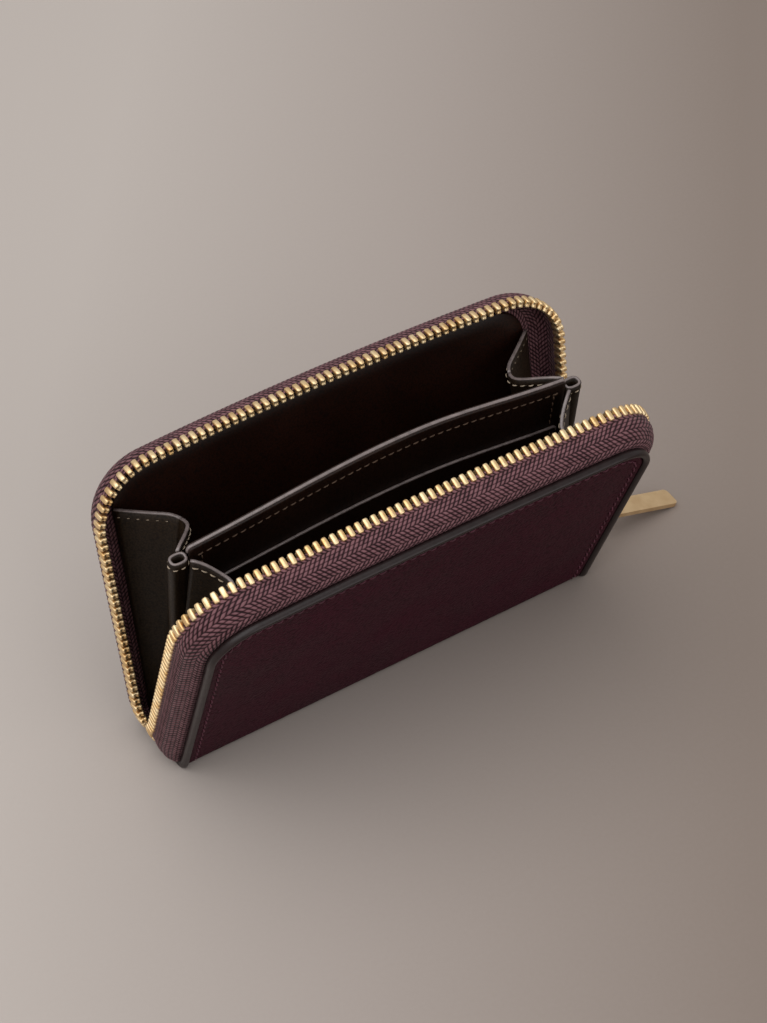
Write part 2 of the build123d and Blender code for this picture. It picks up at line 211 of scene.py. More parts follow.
class Cover(Sheet):
    """One half of the wallet's outer face: the spine's half, its bend and the cover."""

    def __init__(self, name, facing):
        self.name = name
        self.facing = facing
        self.body = f"{name}_cover"
        self.hinge = f"{name}_cover_hinge"
        self.lean = radians(joints[self.hinge]["range_deg"][1])
        foot = HINGE_Y + BEND_RADIUS * (pi / 2 - self.lean)
        super().__init__(HALF_WIDTH, SHOULDER, CROWN, CORNER, foot)

    def at(self, x, s, depth):
        """World places, one row each."""
        x, s, depth = np.broadcast_arrays(x, s, depth)
        depth = np.where(depth < 0, depth * smooth((s - HINGE_Y) / BEND_RADIUS), depth)
        turn = np.clip((s - HINGE_Y) / BEND_RADIUS, 0, pi / 2 - self.lean)
        radius = BEND_RADIUS - depth
        up = np.maximum(s - self.foot, 0)
        y = np.minimum(s, HINGE_Y) + radius * np.sin(turn) + up * sin(self.lean)
        z = BEND_RADIUS - radius * np.cos(turn) + up * cos(self.lean)
        return np.stack([x, self.facing * y, z], -1).reshape(-1, 3)

    def edge_height(self, s):
        """Height of the closed tape's edge by the place s on a straight side."""
        settled = self.foot + SETTLED
        reach = settled - TAIL_HALF
        regular = BEND_RADIUS + s - self.foot
        settled_height = BEND_RADIUS + settled - self.foot
        bend = (TAIL_TOP - settled_height + reach) / reach**2
        return np.where(s < settled, regular + bend * (settled - s) ** 2, regular)

    def edge_turn(self, length):
        """How far the tape's edge has turned with the open cover, from 0 to its lean."""
        run = np.minimum(length, self.rim_length - length)
        height = self.edge_height(run)
        left, right = (smooth(between(height, *turn)) for turn in (LEFT_TURN, RIGHT_TURN))
        return self.lean * np.where(length < self.rim_length / 2, left, right)

    def edge_span(self, length):
        """From the tape's start under the leather to its edge, at lengths along the rim."""
        run = np.minimum(length, self.rim_length - length)
        turn = self.edge_turn(length)
        run = np.minimum(run, self.corner)
        y, z = EDGE_GAP - HINGE_Y, self.edge_height(run) - BEND_RADIUS
        edge_y = HINGE_Y + y * np.cos(turn) + z * np.sin(turn)
        edge_z = BEND_RADIUS - y * np.sin(turn) + z * np.cos(turn)
        edge = np.stack([0 * edge_y, self.facing * edge_y, edge_z], -1)
        return edge - self.at(0.0, run, TAPE_START_DEPTH)

    def taper(self, length, outset):
        """How much of the tape's outset is left, which is least at the left foot."""
        reach = self.foot + LEFT_TAPER_REACH - TAIL_HALF
        lost = LEFT_TAPER * (1 - smooth((length - TAIL_HALF) / reach))
        return np.where(outset > 0, 1 - lost, 1)

    def tape_places(self, length, outset, depth):
        """World places on the tape, whose edge leaves the cover's way near the spine."""
        length, outset, depth = np.broadcast_arrays(length, outset, depth)
        length, outset, depth = length.ravel(), outset.ravel(), depth.ravel()
        x, s = self.rim(length, outset * self.taper(length, outset))
        share = np.maximum(depth - TAPE_START_DEPTH, 0) / (TAPE_EDGE_DEPTH - TAPE_START_DEPTH)
        start = self.at(x, s, np.minimum(depth, TAPE_START_DEPTH))
        return start + share[:, None] * self.edge_span(length)

    def row_places(self, length, outset=ROW_OUTSET):
        """World places on the tape's edge, where its teeth sit."""
        return self.tape_places(length, outset, TAPE_EDGE_DEPTH)


class Divider(Sheet):
    """The divider's middle plane, or a pocket on it, narrower by a margin and lower by a drop."""

    def __init__(self, margin=0.0, drop=0.0):
        shoulder = DIVIDER_HEIGHT - drop
        super().__init__(DIVIDER_HALF_WIDTH - margin, shoulder, DIVIDER_CROWN, DIVIDER_CORNER)

    def at(self, x, s, depth):
        """World places, one row each. Depth falls towards the back."""
        x, s, depth = np.broadcast_arrays(x, s, depth)
        reach = DIVIDER_HALF_WIDTH - DIVIDER_BOW_X * np.sign(x - DIVIDER_BOW_X)
        share = np.clip((x - DIVIDER_BOW_X) / reach, -1, 1)
        depth = depth - DIVIDER_BOW * (s / DIVIDER_HEIGHT) ** 2 * np.cos(share * pi / 2) ** 2
        y = -s * sin(DIVIDER_LEAN) - depth * cos(DIVIDER_LEAN)
        z = DIVIDER_FOOT + s * cos(DIVIDER_LEAN) - depth * sin(DIVIDER_LEAN)
        return np.stack([x, y, z], -1).reshape(-1, 3)


FRONT = Cover("front", -1)
BACK = Cover("back", 1)
COVERS = (FRONT, BACK)
DIVIDER = Divider()
ENDS = {"left": -1, "right": 1}


# Meshes


def placed(name, data):
    """A new object in the scene."""
    made = bpy.data.objects.new(name, data)
    bpy.context.scene.collection.objects.link(made)
    return made


def mesh_piece(name, vertices, faces, material):
    """A new smooth object from places and faces."""
    mesh = bpy.data.meshes.new(name)
    mesh.from_pydata(np.asarray(vertices).tolist(), [], [tuple(int(i) for i in face) for face in faces])
    mesh.validate()
    mesh.materials.append(material)
    mesh.polygons.foreach_set("use_smooth", [True] * len(mesh.polygons))
    return placed(name, mesh)


def closed_piece(name, vertices, faces, material):
    """A new object made of closed shapes, whose faces point outwards."""
    piece = mesh_piece(name, vertices, faces, material)
    shape = bmesh.new()
    shape.from_mesh(piece.data)
    bmesh.ops.recalc_face_normals(shape, faces=shape.faces)
    shape.to_mesh(piece.data)
    shape.free()
    return piece


def tube_faces(rings, points, closed=False):
    """Faces of a run of rings with the same number of points, capped or joined end to end."""
    ring = np.arange(rings if closed else rings - 1)[:, None]
    point = np.arange(points)[None, :]
    here, there = ring * points, (ring + 1) % rings * points
    following = (point + 1) % points
    quads = np.stack([here + point, here + following, there + following, there + point], -1)
    faces = quads.reshape(-1, 4).tolist()
    if not closed:
        faces.append(list(range(points)))
        faces.append(list(range(rings * points - 1, (rings - 1) * points - 1, -1)))
    return faces


def repeat_faces(faces, size, count):
    """Faces of a number of copies of a shape with a size in vertices."""
    return [[size * number + index for index in face] for number in range(count) for face in faces]


def grid_faces(grid):
    """Faces between the neighbours of a grid of vertex numbers."""
    return np.stack([grid[:-1, :-1], grid[:-1, 1:], grid[1:, 1:], grid[1:, :-1]], -1).reshape(-1, 4).tolist()


def tube(name, rings, material, closed=False):
    """A piece through rings of places, capped or joined end to end."""
    rings = np.asarray(rings)
    return closed_piece(name, rings.reshape(-1, 3), tube_faces(*rings.shape[:2], closed), material)


def oval(count, half_width, half_height, power):
    """Both coordinates of points round an oval, which is squarer for a lower power."""
    turns = np.linspace(0, 2 * pi, count, endpoint=False)
    halves = ((half_width, np.cos(turns)), (half_height, np.sin(turns)))
    return [half * np.sign(way) * np.abs(way) ** power for half, way in halves]


def rounded(points, radius, steps):
    """A closed line of points with its corners rounded."""
    points = list(np.array(points, float))
    result = []
    for before, corner, after in zip(points[-1:] + points[:-1], points, points[1:] + points[:1]):
        back, on = before - corner, after - corner
        reach = min(radius, np.linalg.norm(back) / 2, np.linalg.norm(on) / 2)
        first, last = corner + unit(back) * reach, corner + unit(on) * reach
        for share in np.linspace(0, 1, steps + 1):
            middle = 2 * share * (1 - share) * corner
            result.append((1 - share) ** 2 * first + middle + share**2 * last)
    return np.array(result)


SHEET_STEP = 2.5 * MM  # between the columns of points on a sheet
CORNER_STEPS = 9


def arched_sheet(name, sheet, rows, profile, material, puff=None):
    """A closed sheet: a grid on either face within an inset, and rings of a profile round it.

    The profile's (outset, depth) points start and end at the inset, on the two faces.
    """
    inset = -profile[0][0]
    columns = np.linspace(-1, 1, 2 * int(sheet.half / SHEET_STEP) + 1)
    turns = np.linspace(0, sheet.turn, CORNER_STEPS)
    corner_half = sheet.corner_x + (sheet.arc - inset) * np.cos(turns)
    corner_rows = sheet.corner + (sheet.arc - inset) * np.sin(turns)
    half = np.concatenate([np.full(len(rows), sheet.half - inset), corner_half])
    level = np.concatenate([rows, corner_rows])
    top = sheet.foot + sheet.top_centre + sheet.top_radius - inset
    rises = np.zeros(len(level))
    rises[len(rows):] = (top - level[-1]) * np.linspace(0, 1, len(turns)) ** 1.5
    x = half[:, None] * columns[None, :]
    s = level[:, None] + rises[:, None] * (1 - columns[None, :] ** 2)
    grid = np.arange(x.size).reshape(x.shape)
    border = np.concatenate([grid[:, 0], grid[-1, 1:-1], grid[::-1, -1]])
    normal = np.zeros((*x.shape, 2))
    normal[:, 0], normal[:, -1] = (-1, 0), (1, 0)
    for row, turn in enumerate(turns, len(rows)):
        normal[row, 0], normal[row, -1] = (-cos(turn), sin(turn)), (cos(turn), sin(turn))
    normal[-1] = unit(np.stack([x[-1], s[-1] - sheet.foot - sheet.top_centre], -1))
    normal = normal.reshape(-1, 2)[border]
    flat = np.stack([x.ravel(), s.ravel()], -1)
    layers = [flat] + [flat[border] + normal * (outset + inset) for outset, _ in profile[1:-1]] + [flat]
    depths = [np.full(len(layer), depth) for layer, (_, depth) in zip(layers, profile)]
    if puff is not None:
        depths[0] = depths[0] + puff(*flat.T)
    ring_starts = x.size + len(border) * np.arange(len(profile) - 2)
    under = x.size + len(border) * (len(profile) - 2) + grid
    loops = [border, *(start + np.arange(len(border)) for start in ring_starts), under.ravel()[border]]
    faces = grid_faces(grid) + grid_faces(under) + grid_faces(np.array(loops))
    sides = np.array(loops[1:-1])
    faces.append([*grid[0], *sides[:, -1], *under[0][::-1], *sides[::-1, 0]])
    return closed_piece(name, sheet.at(*np.concatenate(layers).T, np.concatenate(depths)), faces, material)


STITCH_SLANT = 0.12
STITCH_SIDES = 6
STITCH_RINGS = (  # place along the stitch, thickness and lift, as shares of its length and width
    (-0.5, 0.3, -0.3), (-0.38, 0.8, 0.1), (-0.15, 1.0, 0.3),
    (0.15, 1.0, 0.3), (0.38, 0.8, 0.1), (0.5, 0.3, -0.3),
)


def stitches(name, line, normals, pitch, length, width, material):
    """Stitches along a line of places, each a short thread that dips in at its ends."""
    run = run_along(line)
    count = int(run[-1] / pitch)
    wide, tall = (way[:, None] for way in oval(STITCH_SIDES, 1.0, 0.8, 1.0))
    vertices = []
    for middle in (np.arange(count) + 0.5) * run[-1] / count:
        place, normal = line_at(line, run, middle), line_at(normals, run, middle)
        along = unit(line_at(line, run, middle + length / 4) - line_at(line, run, middle - length / 4))
        across = np.cross(normal, along)
        for share, thickness, lift in STITCH_RINGS:
            centre = place + (along + across * STITCH_SLANT) * share * length
            ring = (across * wide + normal * tall) * thickness / 2
            vertices.extend(centre + (normal * lift + ring) * width)
    pattern = tube_faces(len(STITCH_RINGS), STITCH_SIDES)
    faces = repeat_faces(pattern, len(STITCH_RINGS) * STITCH_SIDES, count)
    return closed_piece(name, vertices, faces, material)


# Materials


def linear(tone):
    """A colour given in sRGB, 0 to 255, as linear light."""
    shares = np.array(tone) / 255
    return tuple(np.where(shares <= 0.04045, shares / 12.92, ((shares + 0.055) / 1.055) ** 2.4))


def new_material(name, tone, roughness, metallic=0.0, specular=0.5):
    """A Principled material, its node tree and shader. Colours are given in sRGB, 0 to 255."""
    material = bpy.data.materials.new(name)
    material.use_nodes = True
    shader = material.node_tree.nodes["Principled BSDF"]
    shader.inputs["Base Color"].default_value = (*linear(tone), 1)
    shader.inputs["Roughness"].default_value = roughness
    shader.inputs["Metallic"].default_value = metallic
    shader.inputs["Specular IOR Level"].default_value = specular
    return material, material.node_tree, shader


def node(tree, kind, inputs=None, **settings):
    """A new node with its settings and its inputs, each a value or another node's socket."""
    made = tree.nodes.new(kind)
    for key, value in settings.items():
        setattr(made, key, value)
    for key, value in (inputs or {}).items():
        if isinstance(value, bpy.types.NodeSocket):
            tree.links.new(value, made.inputs[key])
        else:
            made.inputs[key].default_value = value
    return made


def math(tree, operation, first, second=0.0, third=0.0):
    """A Math node's result."""
    return node(tree, "ShaderNodeMath", {0: first, 1: second, 2: third}, operation=operation).outputs[0]


def vector(tree, x, y):
    """A vector with x and y."""
    return node(tree, "ShaderNodeCombineXYZ", {"X": x, "Y": y}).outputs["Vector"]


def noise(tree, place, scale, detail):
    """A noise texture's factor."""
    inputs = {"Vector": place, "Scale": scale, "Detail": detail}
    return node(tree, "ShaderNodeTexNoise", inputs).outputs["Fac"]


def object_place(tree):
    """Places in the material's object."""
    return node(tree, "ShaderNodeTexCoord").outputs["Object"]


def colour(tree, shader, factor, stops, strengths=(1, 1, 1)):
    """Gives a shader colours along a ramp of (place, colour) stops, each at its strength."""
    made = node(tree, "ShaderNodeValToRGB", {"Fac": factor})
    elements = made.color_ramp.elements
    while len(elements) < len(stops):
        elements.new(0.5)
    for element, (place, tone), strength in zip(elements, stops, strengths):
        element.position = place
        element.color = (*(strength * share for share in linear(tone)), 1)
    tree.links.new(made.outputs["Color"], shader.inputs["Base Color"])


def roughen(tree, shader, factor, low, high):
    """Gives a shader a roughness between two values."""
    made = node(tree, "ShaderNodeMapRange", {"Value": factor, "To Min": low, "To Max": high})
    tree.links.new(made.outputs["Result"], shader.inputs["Roughness"])


def bump(tree, shader, height, distance):
    """Gives a shader its relief."""
    made = node(tree, "ShaderNodeBump", {"Height": height, "Distance": distance})
    tree.links.new(made.outputs["Normal"], shader.inputs["Normal"])


def leather_material(name, dark, light, roughness, specular, grain=0.5 * MM, grain_height=0.03 * MM):
    """Grained leather: cells of a grain size in metres, creases between them darkened in colour as painted
    shade, slow colour changes.
    """
    material, tree, shader = new_material(name, light, roughness, specular=specular)
    place = object_place(tree)
    cells = node(tree, "ShaderNodeTexVoronoi", {"Vector": place, "Scale": 1 / grain}).outputs["Distance"]
    fine = noise(tree, place, 3 / grain, 4.0)
    slow = noise(tree, place, 60.0, 3.0)
    crease = math(tree, "POWER", cells, 1.6)
    # The creases are darkened in colour as painted shade; the slow noise is a real change of tone.
    shade = math(tree, "MULTIPLY_ADD", crease, -0.55, math(tree, "MULTIPLY_ADD", slow, 0.4, 0.3))
    colour(tree, shader, shade, [(0.15, dark), (0.62, light)])
    rough = math(tree, "MULTIPLY_ADD", crease, 0.6, slow)
    roughen(tree, shader, rough, roughness - 0.08, roughness + 0.14)
    height = math(tree, "MULTIPLY_ADD", fine, 0.25, math(tree, "MULTIPLY", crease, -1.0))
    bump(tree, shader, height, grain_height)
    return material


def paint_material(name, tone, roughness, specular):
    """Edge paint, thread or fibreboard: an even coat with a faint unevenness."""
    material, tree, shader = new_material(name, tone, roughness, specular=specular)
    uneven = noise(tree, object_place(tree), 500.0, 3.0)
    colour(tree, shader, uneven, [(0.3, tone), (0.7, tone)], (0.7, 1.15))
    roughen(tree, shader, uneven, roughness - 0.08, roughness + 0.1)
    bump(tree, shader, uneven, 0.05 * MM)
    return material


def metal_material(name, dark, light, roughness):
    """Plated metal with small scratches and duller patches."""
    material, tree, shader = new_material(name, light, roughness, metallic=1.0)
    place = object_place(tree)
    patches = noise(tree, place, 300.0, 4.0)
    colour(tree, shader, patches, [(0.3, dark), (0.65, light)])
    roughen(tree, shader, patches, roughness - 0.06, roughness + 0.12)
    bump(tree, shader, noise(tree, place, 2500.0, 2.0), 0.012 * MM)
    return material


def tape_material(name):
    """Herringbone zip tape: the strands of weave() in colour and fine relief, each a run of floats. Their
    height gives the colour painted shade between the strands and a painted highlight on their tops.
    """
    material, tree, shader = new_material(name, (84, 54, 60), 0.66, specular=0.2)
    flat = node(tree, "ShaderNodeUVMap", uv_map="flat").outputs["UV"]
    axes = node(tree, "ShaderNodeSeparateXYZ", {"Vector": flat})
    along, across = axes.outputs["X"], axes.outputs["Y"]
    place = math(tree, "DIVIDE", across, COLUMN)
    odd = math(tree, "FLOORED_MODULO", math(tree, "FLOOR", place), 2.0)
    slanted = math(tree, "MULTIPLY_ADD", math(tree, "PINGPONG", across, COLUMN), SLANT, along)
    turn = math(tree, "MULTIPLY_ADD", odd, 0.5, math(tree, "DIVIDE", slanted, STRAND))
    from_middle = math(tree, "MULTIPLY_ADD", math(tree, "FRACT", turn), 2.0, -1.0)
    body = math(tree, "SUBTRACT", 1.0, math(tree, "MULTIPLY", from_middle, from_middle))
    run = math(tree, "MULTIPLY", place, FLOATS)
    from_float = math(tree, "MULTIPLY_ADD", math(tree, "FRACT", run), 2.0, -1.0)
    round_float = math(tree, "SUBTRACT", 1.0, math(tree, "POWER", math(tree, "ABSOLUTE", from_float), 3.0))
    height = math(tree, "MULTIPLY", body, math(tree, "MULTIPLY_ADD", round_float, 0.75, 0.3))
    fibre_place = vector(tree, math(tree, "MULTIPLY", turn, 5.0), math(tree, "MULTIPLY", place, 3.0))
    fibres = noise(tree, fibre_place, 2.0, 3.0)
    which = vector(tree, math(tree, "FLOOR", turn), math(tree, "FLOOR", run))
    tint = node(tree, "ShaderNodeTexWhiteNoise", {"Vector": which}, noise_dimensions="2D").outputs["Value"]
    strand_tint = math(tree, "MULTIPLY_ADD", tint, 0.3, math(tree, "MULTIPLY_ADD", fibres, 0.4, -0.32))
    # Painted shade in the gaps between strands and a painted highlight on their tops, from height, plus each
    # strand's random tint.
    stops = [(0.14, (20, 6, 9)), (0.52, (64, 33, 39)), (1.0, (124, 87, 92))]
    colour(tree, shader, math(tree, "ADD", height, strand_tint), stops)
    bump(tree, shader, math(tree, "MULTIPLY_ADD", fibres, 0.4, height), 0.12 * MM)
    shader.inputs["Sheen Weight"].default_value = 0.1
    shader.inputs["Sheen Roughness"].default_value = 0.4
    return material


PLUM_LEATHER = leather_material("plum_leather", (40, 9, 20), (66, 16, 34), 0.46, 0.08, 0.65 * MM, 0.16 * MM)
DIVIDER_LEATHER = leather_material("divider_leather", (20, 9, 5), (44, 26, 17), 0.36, 0.24)
GUSSET_LEATHER = leather_material("gusset_leather", (22, 14, 7), (46, 33, 20), 0.4, 0.22)
LINING_LEATHER = leather_material("lining_leather", (20, 7, 3), (44, 19, 9), 0.4, 0.2)
DARK_PAINT = paint_material("dark_edge_paint", (32, 21, 21), 0.34, 0.35)
PALE_PAINT = paint_material("pale_edge_paint", (122, 110, 108), 0.28, 0.75)
TAPE_CLOTH = tape_material("tape_cloth")
TOOTH_METAL = metal_material("tooth_brass", (230, 188, 126), (255, 232, 188), 0.4)
SLIDER_METAL = metal_material("slider_gold", (218, 186, 142), (230, 202, 160), 0.44)
PLUM_THREAD = paint_material("plum_thread", (84, 40, 54), 0.5, 0.3)
PALE_THREAD = paint_material("pale_thread", (186, 168, 146), 0.55, 0.3)
BROWN_THREAD = paint_material("brown_thread", (92, 72, 58), 0.55, 0.3)
BOARD_FIBRE = paint_material("board_fibre", (92, 70, 52), 0.8, 0.2)

# Stitches: pitch, length, width and thread
COVER_STITCH = (2.6 * MM, 1.9 * MM, 0.55 * MM, PLUM_THREAD)
DIVIDER_STITCH = (2.2 * MM, 1.6 * MM, 0.4 * MM, BROWN_THREAD)
GUSSET_STITCH = (2.1 * MM, 1.5 * MM, 0.38 * MM, PALE_THREAD)
WRAP_STITCH = (1.7 * MM, 1.2 * MM, 0.36 * MM, PALE_THREAD)


# Covers

PUFF = 0.4 * MM  # of the padded leather, out of its outer face
PUFF_WAVE = 0.12 * MM
PUFF_REACH = 22.0 * MM  # from the leather's edges to where it stands out in full
STITCH_DEPTH = 0.1 * MM
SPINE_STITCH_DEPTH = 0.4 * MM

# Sections of (outset, depth) points: the leather's has a groove for its stitches
LEATHER_SECTION = MM * np.array(
    [
        (-5.6, 0), (-4.4, 0), (-3.9, 0.05), (-3.4, 0.24), (-2.9, 0.05), (-2.4, -0.05),
        (-1.8, 0), (-1.58, 0.14), (-1.5, 0.5), (-1.5, 1.2), (-2.4, 1.4), (-5.6, 1.4),
    ]
)
LINING_SECTION = MM * np.array([(-6, 2.2), (-2.2, 2.2), (-2, 2.4), (-2, 2.7), (-2.3, 3), (-6, 3)])
BEAD_SECTION = MM * rounded(
    [(-1.45, 0.5), (-1.4, -0.25), (-0.8, -0.72), (0.1, -0.8), (0.5, 0.1), (0.2, 1.45), (-1.4, 1.4)], 0.5, 3
)


def puff(cover):
    """How far the padded leather stands out of its outer face, by x and s, as a depth."""
    top = cover.foot + SHOULDER

    def depth(x, s):
        insides = [HALF_WIDTH - 5.5 * MM - np.abs(x), top - 4.0 * MM - s, s - cover.foot - 2.0 * MM]
        rise = np.prod(np.sin(between(np.array(insides), 0, PUFF_REACH) * pi / 2), axis=0)
        wave = np.sin(x * 61 + 1.3) * np.sin(s * 83 + cover.facing) + 0.6 * np.sin(x * 137 + s * 90)
        return -rise * (PUFF + PUFF_WAVE * wave)

    return depth


def cover_rows(cover):
    """Places s of a cover sheet's rows of points, from the spine's middle line to the corners."""
    spine = np.linspace(0, HINGE_Y, 4)[:-1]
    bend = np.linspace(HINGE_Y, cover.foot, 9)[:-1]
    return np.concatenate([spine, bend, np.linspace(cover.foot, cover.corner, 33)[:-1]])


def cover_edge(cover):
    """The painted edge: a closed section swept along the cover's rim."""
    lengths = np.linspace(0, cover.rim_length, 330)
    x, s = cover.rim(lengths[:, None], BEAD_SECTION[None, :, 0])
    rings = cover.at(x, s, BEAD_SECTION[None, :, 1]).reshape(*x.shape, 3)
    return tube(f"{cover.name}_edge_paint", rings, DARK_PAINT)


def cover_seam(cover):
    """The cover's stitches, which lie deeper on the spine."""
    end = 0.5 * MM
    x, s = cover.rim(np.linspace(end, cover.rim_length - end, 600), -STITCH_INSET)
    past_bend = smooth((s - HINGE_Y) / BEND_RADIUS)
    depth = STITCH_DEPTH + (SPINE_STITCH_DEPTH - STITCH_DEPTH) * (1 - past_bend)
    return stitches(f"{cover.name}_stitches", *cover.surface(x, s, depth), *COVER_STITCH)


def bend_with(piece, cover):
    """Bakes the piece's transform into its mesh; the ends of the cover's bend are found but not used."""
    start = cover.at(0.0, HINGE_Y, 0.0)[0]
    end = cover.at(0.0, cover.foot, 0.0)[0]
    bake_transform(piece)


for cover in COVERS:
    rows = cover_rows(cover)
    leather = arched_sheet(f"{cover.name}_leather", cover, rows, LEATHER_SECTION, PLUM_LEATHER, puff(cover))
    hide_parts(f"{cover.name}_panel")
    edge_paint, seam = cover_edge(cover), cover_seam(cover)
    lining = arched_sheet(f"{cover.name}_lining_leather", cover, rows, LINING_SECTION, LINING_LEATHER)
    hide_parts(f"{cover.name}_lining")
    if cover is FRONT:
        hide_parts("spine_leather")
        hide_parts("spine_lining")
    for piece in (leather, edge_paint, seam, lining):
        bend_with(piece, cover)


# Zip tape

TAPE_START_OUTSET = 0.5 * MM
TAPE_EDGE_OUTSET = 4.6 * MM
BULGE_DEPTH = 6.2 * MM  # where the tape's bulge ends
TAPE_FLATNESS = 1.15  # 1 for a quarter of an ellipse, 2 for a straight slope
INNER_STRIDE = 3  # the tape's inner face has every third point of its outer face
TAIL_OVERLAP = 0.05 * MM
SLICE = 6.0 * MM  # of the right end's tape, cut into slices
SLICES = 6


def weave(along, across):
    """Height from 0 to 1 of the herringbone's slanted strands, whose columns run along the tape."""
    place = across / COLUMN
    back_and_forth = COLUMN * np.abs(place - 2 * np.round(place / 2))
    turn = (along + SLANT * back_and_forth) / STRAND + 0.5 * (np.floor(place) % 2)
    body = 1 - (2 * (turn % 1) - 1) ** 2
    tuck = 1 - np.abs(2 * (place % 1) - 1) ** 5
    return body * tuck


def tape_profile():
    """The tape's outer face as (outset, depth) from under the leather to its edge, with its normals."""
    turns = np.linspace(0, pi / 2, 40)
    outset = TAPE_START_OUTSET + (TAPE_EDGE_OUTSET - TAPE_START_OUTSET) * np.sin(turns) ** TAPE_FLATNESS
    depth = BULGE_DEPTH - (BULGE_DEPTH - TAPE_START_DEPTH) * np.cos(turns) ** TAPE_FLATNESS
    bulge = np.stack([outset, depth], -1)
    line = np.concatenate([[(-TAPE_FLANGE, depth[0])], bulge, [(outset[-1], TAPE_EDGE_DEPTH)]])
    run = run_along(line)
    across = np.append(np.arange(0, run[-1] - WEAVE_STEP_ACROSS / 2, WEAVE_STEP_ACROSS), run[-1])
    line = line_at(line, run, across)
    heading = unit(np.gradient(line, axis=0))
    return line, np.stack([heading[:, 1], -heading[:, 0]], -1), across


def tape_piece(name, along, places):
    """Tape along a run of stations, its outer face woven in relief. `places` gives its world places."""
    line, normal, across = tape_profile()
    inner = slice(None, None, -INNER_STRIDE)
    relief = WEAVE_RELIEF * (weave(along[:, None], across[None, :]) - 0.5)
    relief[:, -1] = 0
    outer_points = line[None] + normal[None] * relief[:, :, None]
    inner_points = np.broadcast_to((line - normal * TAPE)[inner], (len(along), *line[inner].shape))
    points = np.concatenate([outer_points, inner_points], axis=1)
    station = np.broadcast_to(along[:, None], points.shape[:2])
    rings = places(station, points[..., 0], points[..., 1]).reshape(*station.shape, 3)
    piece = tube(name, rings, TAPE_CLOTH)
    map_across = np.broadcast_to(np.concatenate([across, across[inner]]), station.shape)
    add_flat_map(piece, np.stack([station.ravel(), map_across.ravel()], -1))
    return piece


def add_flat_map(piece, places):
    """A UV map named flat from one pair of numbers for each vertex."""
    layer = piece.data.uv_layers.new(name="flat")
    corners = np.empty(len(piece.data.loops), np.int32)
    piece.data.loops.foreach_get("vertex_index", corners)
    layer.data.foreach_set("uv", np.asarray(places, np.float32)[corners].ravel())


def turn_between(piece, cover, shares):
    """Finds an evenly growing share from three (place, share) pairs, which is not used, and bakes the
    piece's transform into its mesh.
    """
    rows = [(1, place[1], place[2]) for place, _ in shares]
    offset, *slope = np.linalg.solve(rows, [share for _, share in shares])
    slope = np.array([0, *slope])
    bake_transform(piece)


def right_share(cover, s):
    """How far the right end's tape edge has turned with its cover by a place s, before smoothing."""
    return float(between(cover.edge_height(s), *RIGHT_TURN))


def stations(low, high):
    """Rim lengths between two, whose steps keep in time with the weave."""
    first = WEAVE_STEP * np.ceil(low / WEAVE_STEP + 0.5)
    inside = np.arange(first, high - WEAVE_STEP / 2, WEAVE_STEP)
    return np.concatenate([[low], inside, [high]])


for cover in COVERS:
    total = cover.rim_length
    upper = cover.foot + SLICE * SLICES
    main = tape_piece(f"{cover.name}_tape", stations(TAIL_HALF, total - upper), cover.tape_places)
    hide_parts(f"{cover.name}_zip_tape")
    bend_with(main, cover)
    for number in range(SLICES + 1):
        name = f"{cover.name}_tape_right_{number}"
        low = cover.foot + SLICE * (number - 1) if number else TAIL_HALF
        high = cover.foot + SLICE * number
        piece = tape_piece(name, stations(total - high, total - low), cover.tape_places)
        edge_low, edge_high = cover.row_places(total - np.array([low, high]))
        if number:
            start_low = cover.at(0.0, low, TAPE_START_DEPTH)[0]
            edges = [(edge_low, right_share(cover, low)), (edge_high, right_share(cover, high))]
            turn_between(piece, cover, [(start_low, 1), *edges])
        else:
            spine_edge = cover.at(0.0, HINGE_Y, TAPE_START_DEPTH)[0]
            cover_edge = cover.at(0.0, cover.foot, TAPE_START_DEPTH)[0]
            turn_between(piece, cover, [(spine_edge, 0), (edge_high, 0), (cover_edge, 1)])


def tail_places(end):
    """World places on the tail that joins both tapes at an end of the spine, by y."""

    def places(y, outset, depth):
        share = np.maximum(depth - TAPE_START_DEPTH, 0) / (TAPE_EDGE_DEPTH - TAPE_START_DEPTH)
        height = np.minimum(depth, TAPE_START_DEPTH) + share * (TAIL_TOP - TAPE_START_DEPTH)
        kept = np.where(outset > 0, 1 - LEFT_TAPER, 1) if end < 0 else 1
        return np.stack([end * (HALF_WIDTH + outset * kept), y, height], -1)

    return places


tail_end = TAIL_HALF + TAIL_OVERLAP
for end_name, end in ENDS.items():
    tail = tape_piece(f"{end_name}_tape_tail", stations(-tail_end, tail_end), tail_places(end))
    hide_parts(f"zip_tail_{end_name}")
    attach(tail, "spine")


# Teeth

# Heights above the ground, closed
STOP_HEIGHT = 6.9 * MM
FIRST_TOOTH_HEIGHT = 8.7 * MM
LAST_TOOTH_HEIGHT = 17.4 * MM


def clamp_shape(*sections):
    """Rings of (along, outwards, tipwards) from (tipwards, half along, half outwards) sections."""
    shape = []
    for tip, half_along, half_out in sections:
        along, out = oval(20, half_along, half_out, 0.45)
        dimple = 0.3 * np.exp(-((out / 0.35) ** 2)) if tip > 1.2 else 0.0 * out
        shape.append(np.stack([along, out, tip - dimple], -1))
    return np.array(shape) * MM


TOOTH_SHAPE = clamp_shape(
    (-1.3, 0.46, 0.8), (-1.22, 0.6, 0.98), (-1.05, 0.68, 1.08), (0.1, 0.69, 1.1), (0.7, 0.68, 1.06),
    (1.1, 0.66, 1.0), (1.35, 0.61, 0.92), (1.5, 0.5, 0.8), (1.58, 0.32, 0.6), (1.6, 0.12, 0.3),
)
STOP_SHAPE = clamp_shape(
    (-1.3, 0.7, 0.8), (-1.15, 0.86, 1.04), (0.3, 0.9, 1.1),
    (0.62, 0.86, 1.04), (0.78, 0.7, 0.85), (0.8, 0.3, 0.4),
)


def square_to(vectors, directions):
    """Vectors without their part along unit directions, row by row."""
    return vectors - (vectors * directions).sum(1)[:, None] * directions


